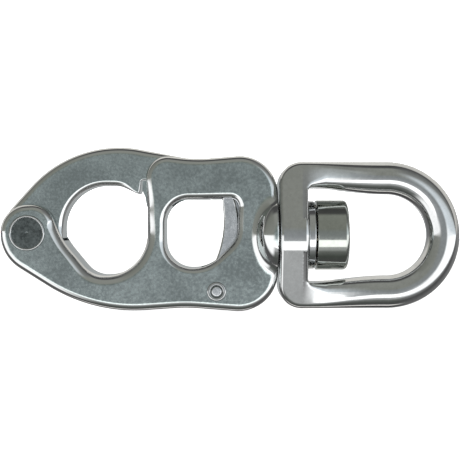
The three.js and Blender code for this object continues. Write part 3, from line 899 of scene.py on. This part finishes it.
def bail_field(x, y, z):
    """A round crown, whose arms turn into slabs that carry on the sloping sides of the hub."""
    height, width = np.abs(z), np.abs(y)
    share = np.clip((x - ARM_FOOT_X) / (CROWN_X - ARM_FOOT_X), 0, 1)
    growth = (1 - np.cos(np.pi * share)) / 2
    taper = (1 - share) ** 2
    half_width = ARM_HALF_WIDTH + (CROWN_BAR_RADIUS - ARM_HALF_WIDTH) * growth
    half_depth = CROWN_BAR_RADIUS + (ARM_HALF_DEPTH - CROWN_BAR_RADIUS) * taper
    arm_height = ARM_HEIGHT_AT_HUB + (CROWN_RADIUS - ARM_HEIGHT_AT_HUB) * growth

    from_crown = np.hypot(x - CROWN_X, z) - CROWN_RADIUS
    past_foot = np.maximum(ARM_FOOT_X - x, 0)
    over_corner = np.maximum(height - (ARM_HEIGHT_AT_HUB + ARM_HALF_WIDTH - HUB_CORNER_RADIUS), 0)
    corner = np.hypot(past_foot, over_corner) - HUB_CORNER_RADIUS
    arm = height - arm_height
    outside = np.where(x > ARM_FOOT_X, arm - half_width, corner)
    outside = np.where(x > CROWN_X, from_crown - CROWN_BAR_RADIUS, outside)
    in_window = -window_distance(x, height, arm_height - half_width)
    in_window = np.where(x > CROWN_X, -from_crown - CROWN_BAR_RADIUS, in_window)

    slope = np.tan(HUB_LEAN) * taper
    sloping_face = (width - half_depth + slope * arm) / np.hypot(1, slope)
    beside_middle = height * np.cos(HUB_LEAN) < width * np.sin(HUB_LEAN)
    face = np.where(beside_middle & (x < CROWN_X), np.hypot(y, z) - HUB_RADIUS, sloping_face)

    past_hub = np.clip((x - HUB_END_X) / FOOT_LENGTH, 0, 1)
    foot_round = FOOT_ROUND + (ARM_INNER_ROUND - FOOT_ROUND) * past_hub
    outer_round = ARM_OUTER_ROUND + (CROWN_BAR_RADIUS - ARM_OUTER_ROUND) * growth
    inner_round = foot_round + (CROWN_BAR_RADIUS - foot_round) * growth
    return round_meet(round_meet(face, outside, outer_round), in_window, inner_round)


def make_bail():
    """Hub and bar in one, with the bush's bore, a pocket for its flange and the spot face."""
    bail = field_solid("shackle_bail", bail_field, (16.5, -18, -29), (87, 18, 29), BAIL_PITCH)
    bore_start_x, bore_end_x = 16, 30
    bore = turned("bore", eased_profile([
        (bore_start_x, 0, 0), (bore_start_x, FLANGE_POCKET_RADIUS, 0),
        (FLANGE_POCKET_END_X, FLANGE_POCKET_RADIUS, 0.2), (FLANGE_POCKET_END_X, HUB_BORE_RADIUS, 0),
        (bore_end_x, HUB_BORE_RADIUS, 0), (bore_end_x, 0, 0),
    ]), 128)
    face_x = HUB_END_X - 0.05
    spot_face = turned("spot_face", eased_profile([
        (face_x, 0, 0), (face_x, SPOT_FACE_RADIUS, WINDOW_CORNER_RADIUS),
        (SPOT_FACE_END_X - 5, SPOT_FACE_RADIUS, 6), (SPOT_FACE_END_X, SPOT_FACE_RADIUS - 1.6, 1.5),
        (SPOT_FACE_END_X, 0, 0),
    ]), 160)
    combine(bail, "DIFFERENCE", bore, spot_face)
    place(bail, "bail", "bail", slot="polished_steel", materials=[polished_steel])


# ---- Materials ----


def node(tree, kind, inputs=None, **settings):
    """A shader node with those settings. An input is a value or another node's output."""
    made = tree.nodes.new("ShaderNode" + kind)
    for name, value in settings.items():
        setattr(made, name, value)
    for name, value in (inputs or {}).items():
        if isinstance(value, bpy.types.NodeSocket):
            tree.links.new(value, made.inputs[name])
        else:
            made.inputs[name].default_value = value
    return made


def ramp(tree, factor, stops):
    """A colour ramp through (position, grey or colour) stops."""
    made = node(tree, "ValToRGB", {"Fac": factor})
    elements = made.color_ramp.elements
    while len(elements) < len(stops):
        elements.new(0.5)
    for element, (position, value) in zip(elements, stops):
        element.position = position
        element.color = (value, value, value, 1) if isinstance(value, float) else (*value, 1)
    return made.outputs["Color"]


def new_material(name):
    """A material with an empty metal shader, its node tree and that shader."""
    material = bpy.data.materials.new(name)
    material.use_nodes = True
    tree = material.node_tree
    tree.nodes.clear()
    shader = node(tree, "BsdfPrincipled", {"Metallic": 1.0})
    output = node(tree, "OutputMaterial")
    tree.links.new(shader.outputs["BSDF"], output.inputs["Surface"])
    return material, tree, shader


def steel(name, tint, contrast, rough, clouds_per_m, mottle_per_m, mottle_height, edge_rough=None):
    """Metal with a cloudy, mottled surface.

    With edge_rough, everything that doesn't face along Y is polished to that roughness.
    """
    material, tree, shader = new_material(name)
    place_at = node(tree, "TexCoord")
    clouds, mottle = (
        node(tree, "TexNoise", {
            "Vector": place_at.outputs["Object"],
            "Scale": per_m,
            "Detail": detail,
            "Roughness": fineness,
        })
        for per_m, detail, fineness in ((clouds_per_m, 6.0, 0.62), (mottle_per_m, 4.0, 0.6))
    )
    both = node(tree, "Math", {0: clouds.outputs["Fac"], 1: mottle.outputs["Fac"]}, operation="ADD")
    pattern = node(tree, "Math", {0: both.outputs[0], 1: 0.5}, operation="MULTIPLY").outputs[0]
    dark = tuple((1 - contrast) * c for c in tint)
    light = tuple(min(1.0, (1 + contrast) * c) for c in tint)
    colour = ramp(tree, pattern, [(0.4, dark), (0.6, light)])
    low, high = rough
    roughness = node(tree, "MapRange", {
        "Value": pattern, "From Min": 0.36, "From Max": 0.64, "To Min": low, "To Max": high,
    }).outputs["Result"]
    flatness = 1.0
    if edge_rough:
        facing = node(tree, "SeparateXYZ", {"Vector": place_at.outputs["Normal"]})
        sideways = node(tree, "Math", {0: facing.outputs["Y"]}, operation="ABSOLUTE")
        flatness = node(tree, "MapRange", {
            "Value": sideways.outputs[0], "From Min": POLISHED_UNTIL, "From Max": FLAT_FROM,
        }, interpolation_type="SMOOTHSTEP").outputs["Result"]
        roughness = node(tree, "Mix", {
            0: flatness, 2: edge_rough, 3: roughness,
        }, data_type="FLOAT").outputs[0]
        colour = node(tree, "Mix", {
            0: flatness, 6: POLISHED_COLOUR, 7: colour,
        }, data_type="RGBA").outputs[2]
    tree.links.new(colour, shader.inputs["Base Color"])
    tree.links.new(roughness, shader.inputs["Roughness"])
    bump = node(tree, "Bump", {
        "Height": mottle.outputs["Fac"], "Strength": flatness, "Distance": mottle_height,
    })
    tree.links.new(bump.outputs["Normal"], shader.inputs["Normal"])
    return material


# The edges' colour, and how far along Y a face has to point to stop being an edge and to be flat.
POLISHED_COLOUR = (0.66, 0.67, 0.67, 1)
POLISHED_UNTIL = 0.93
FLAT_FROM = 0.985

satin_steel = steel(
    "satin_steel", (0.49, 0.55, 0.545), 0.22, (0.15, 0.22), 70, 1100, 1.2e-5, edge_rough=0.08
)
trigger_steel = steel(
    "trigger_steel", (0.78, 0.8, 0.83), 0.1, (0.2, 0.3), 160, 900, 4e-6, edge_rough=0.15
)
polished_steel = steel("polished_steel", (0.62, 0.63, 0.63), 0.06, (0.05, 0.10), 120, 700, 1e-6)
barrel_steel = steel("barrel_steel", (0.48, 0.5, 0.47), 0.06, (0.06, 0.10), 120, 700, 1e-6)
pin_face_steel = steel("pin_face_steel", (0.15, 0.17, 0.17), 0.3, (0.24, 0.34), 300, 1300, 1.2e-5)
bearing_steel = steel("bearing_steel", (0.66, 0.67, 0.68), 0.06, (0.08, 0.12), 150, 900, 1e-6)
spring_steel = steel("spring_steel", (0.55, 0.56, 0.57), 0.12, (0.2, 0.3), 200, 1600, 4e-6)
# The bush's colour sits far below bronze's own: painted shade for the dark line where its flange
# shows between the body's end and the hub.
shade_painted_bronze = steel("bush_bronze", (0.12, 0.09, 0.06), 0.25, (0.35, 0.5), 220, 1600, 6e-6)
brass = steel("cage_brass", (0.6, 0.44, 0.2), 0.2, (0.25, 0.38), 220, 1600, 6e-6)


# ---- Studio ----

CAMERA_DISTANCE = 0.340
CAMERA_RAISE = 1.875 * MM
FRAME_WIDTH = 0.1725
SENSOR_WIDTH = 36
FLOOR_RADIUS = 3
FLOOR_DROP = 0.5 * MM
BACKDROP_RADIUS = 3.2


def make_camera():
    """A close camera square to the shackle's side."""
    data = bpy.data.cameras.new("camera")
    data.sensor_width = SENSOR_WIDTH
    data.lens = SENSOR_WIDTH * CAMERA_DISTANCE / FRAME_WIDTH
    data.clip_start = 0.01
    data.clip_end = 20
    camera = bpy.data.objects.new("camera", data)
    camera.location = (LOAD_LINE.x, -CAMERA_DISTANCE, LOAD_LINE.z + CAMERA_RAISE)
    camera.rotation_euler = (math.radians(90), 0, 0)
    bpy.context.scene.collection.objects.link(camera)
    bpy.context.scene.camera = camera


# Colours of the studio round the load line, by degrees up from the front: ahead of the camera's
# middle, and towards the jaw's and the bail's ends.
STUDIO_MIDDLE = [
    (-180, (0.22, 0.23, 0.23)),
    (-170, (0.20, 0.21, 0.21)),
    (-162, (0.45, 0.45, 0.45)),
    (-150, (0.45, 0.45, 0.45)),
    (-144, (0.05, 0.05, 0.05)),
    (-112, (0.04, 0.04, 0.04)),
    (-108, (0.7, 0.68, 0.66)),
    (-103, (0.7, 0.68, 0.66)),
    (-99, (0.05, 0.05, 0.05)),
    (-74, (0.05, 0.055, 0.05)),
    (-56, (0.11, 0.115, 0.11)),
    (-49, (0.26, 0.265, 0.265)),
    (-40, (0.30, 0.305, 0.305)),
    (-38, (1.0, 1.0, 1.0)),
    (-17, (1.0, 1.0, 1.0)),
    (-15, (0.25, 0.26, 0.265)),
    (-3, (0.18, 0.19, 0.195)),
    (10, (0.16, 0.17, 0.17)),
    (20, (0.155, 0.16, 0.145)),
    (66, (0.17, 0.175, 0.16)),
    (76, (0.05, 0.05, 0.05)),
    (97, (0.04, 0.04, 0.04)),
    (102, (0.46, 0.45, 0.42)),
    (150, (0.42, 0.41, 0.39)),
    (170, (0.20, 0.21, 0.21)),
    (180, (0.22, 0.23, 0.23)),
]
STUDIO_LEFT = [
    (-180, (0.12, 0.12, 0.12)),
    (-75, (0.05, 0.05, 0.05)),
    (-62, (0.75, 0.75, 0.75)),
    (-4, (0.75, 0.75, 0.75)),
    (2, (0.16, 0.165, 0.15)),
    (70, (0.12, 0.125, 0.11)),
    (95, (0.05, 0.05, 0.05)),
    (105, (0.4, 0.39, 0.37)),
    (150, (0.4, 0.39, 0.37)),
    (180, (0.12, 0.12, 0.12)),
]
STUDIO_RIGHT = [
    (-180, (0.15, 0.15, 0.15)),
    (-75, (0.05, 0.05, 0.05)),
    (-50, (0.15, 0.15, 0.15)),
    (-38, (0.85, 0.86, 0.87)),
    (-2, (0.85, 0.86, 0.87)),
    (3, (0.5, 0.54, 0.57)),
    (25, (0.42, 0.45, 0.47)),
    (45, (0.15, 0.155, 0.15)),
    (95, (0.05, 0.05, 0.05)),
    (105, (0.4, 0.39, 0.37)),
    (150, (0.4, 0.39, 0.37)),
    (180, (0.15, 0.15, 0.15)),
]
STUDIO_STRENGTH = 2.0

# Where each end's colours set in and where they are alone, as the share of the direction along X.
LEFT_BLEND = (0.3, 0.6)
RIGHT_BLEND = (0.2, 0.42)


def make_world():
    """Soft light that changes with the angle round the load line, and towards its two ends."""
    world = bpy.data.worlds.new("studio")
    bpy.context.scene.world = world
    world.use_nodes = True
    tree = world.node_tree
    tree.nodes.clear()
    direction = node(tree, "SeparateXYZ", {"Vector": node(tree, "TexCoord").outputs["Generated"]})
    front = node(tree, "Math", {0: direction.outputs["Y"], 1: -1.0}, operation="MULTIPLY")
    angle = node(tree, "Math", {
        0: direction.outputs["Z"], 1: front.outputs[0],
    }, operation="ARCTAN2")
    turn = node(tree, "MapRange", {
        "Value": angle.outputs[0], "From Min": -math.pi, "From Max": math.pi,
    })
    middle, left, right = (
        ramp(tree, turn.outputs["Result"], [((degrees + 180) / 360, c) for degrees, c in stops])
        for stops in (STUDIO_MIDDLE, STUDIO_LEFT, STUDIO_RIGHT)
    )
    colour = middle
    for end, end_colour, (near, far) in ((-1.0, left, LEFT_BLEND), (1.0, right, RIGHT_BLEND)):
        sideways = node(tree, "Math", {0: direction.outputs["X"], 1: end}, operation="MULTIPLY")
        share = node(tree, "MapRange", {
            "Value": sideways.outputs[0], "From Min": near, "From Max": far,
        }, interpolation_type="SMOOTHSTEP")
        colour = node(tree, "Mix", {
            0: share.outputs["Result"], 6: colour, 7: end_colour,
        }, data_type="RGBA").outputs[2]
    background = node(tree, "Background", {"Color": colour, "Strength": STUDIO_STRENGTH})
    output = node(tree, "OutputWorld")
    tree.links.new(background.outputs[0], output.inputs["Surface"])


def make_stage():
    """A pale floor under the shackle and a white backdrop, seen only by the camera."""
    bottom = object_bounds()[0][2]
    bpy.ops.mesh.primitive_circle_add(
        vertices=96, radius=FLOOR_RADIUS, fill_type="NGON", location=(0, 0, bottom - FLOOR_DROP)
    )
    floor = bpy.context.object
    floor.name = "floor"
    bpy.ops.mesh.primitive_uv_sphere_add(
        segments=64, ring_count=32, radius=BACKDROP_RADIUS, location=(0, 0, bottom)
    )
    backdrop = bpy.context.object
    backdrop.name = "backdrop"
    for stage, glow in ((floor, 0.85), (backdrop, 1.3)):
        material, _, shader = new_material(stage.name)
        shader.inputs["Metallic"].default_value = 0.0
        shader.inputs["Base Color"].default_value = (0.9, 0.9, 0.9, 1)
        shader.inputs["Roughness"].default_value = 0.9
        shader.inputs["Emission Color"].default_value = (1, 1, 1, 1)
        shader.inputs["Emission Strength"].default_value = glow
        stage.data.materials.append(material)
        stage.visible_glossy = False
        stage.visible_diffuse = False
        stage.visible_shadow = False


def build():
    """The whole scene, in order."""
    make_camera()
    bpy.context.scene.view_settings.view_transform = "Standard"
    make_world()
    make_body()
    make_jaw()
    make_trigger()
    make_jaw_pin()
    make_trigger_pin()
    make_bolt()
    make_races()
    make_balls()
    make_cage()
    make_hub_fittings()
    make_trigger_drive()
    make_bail()
    make_stage()


build()
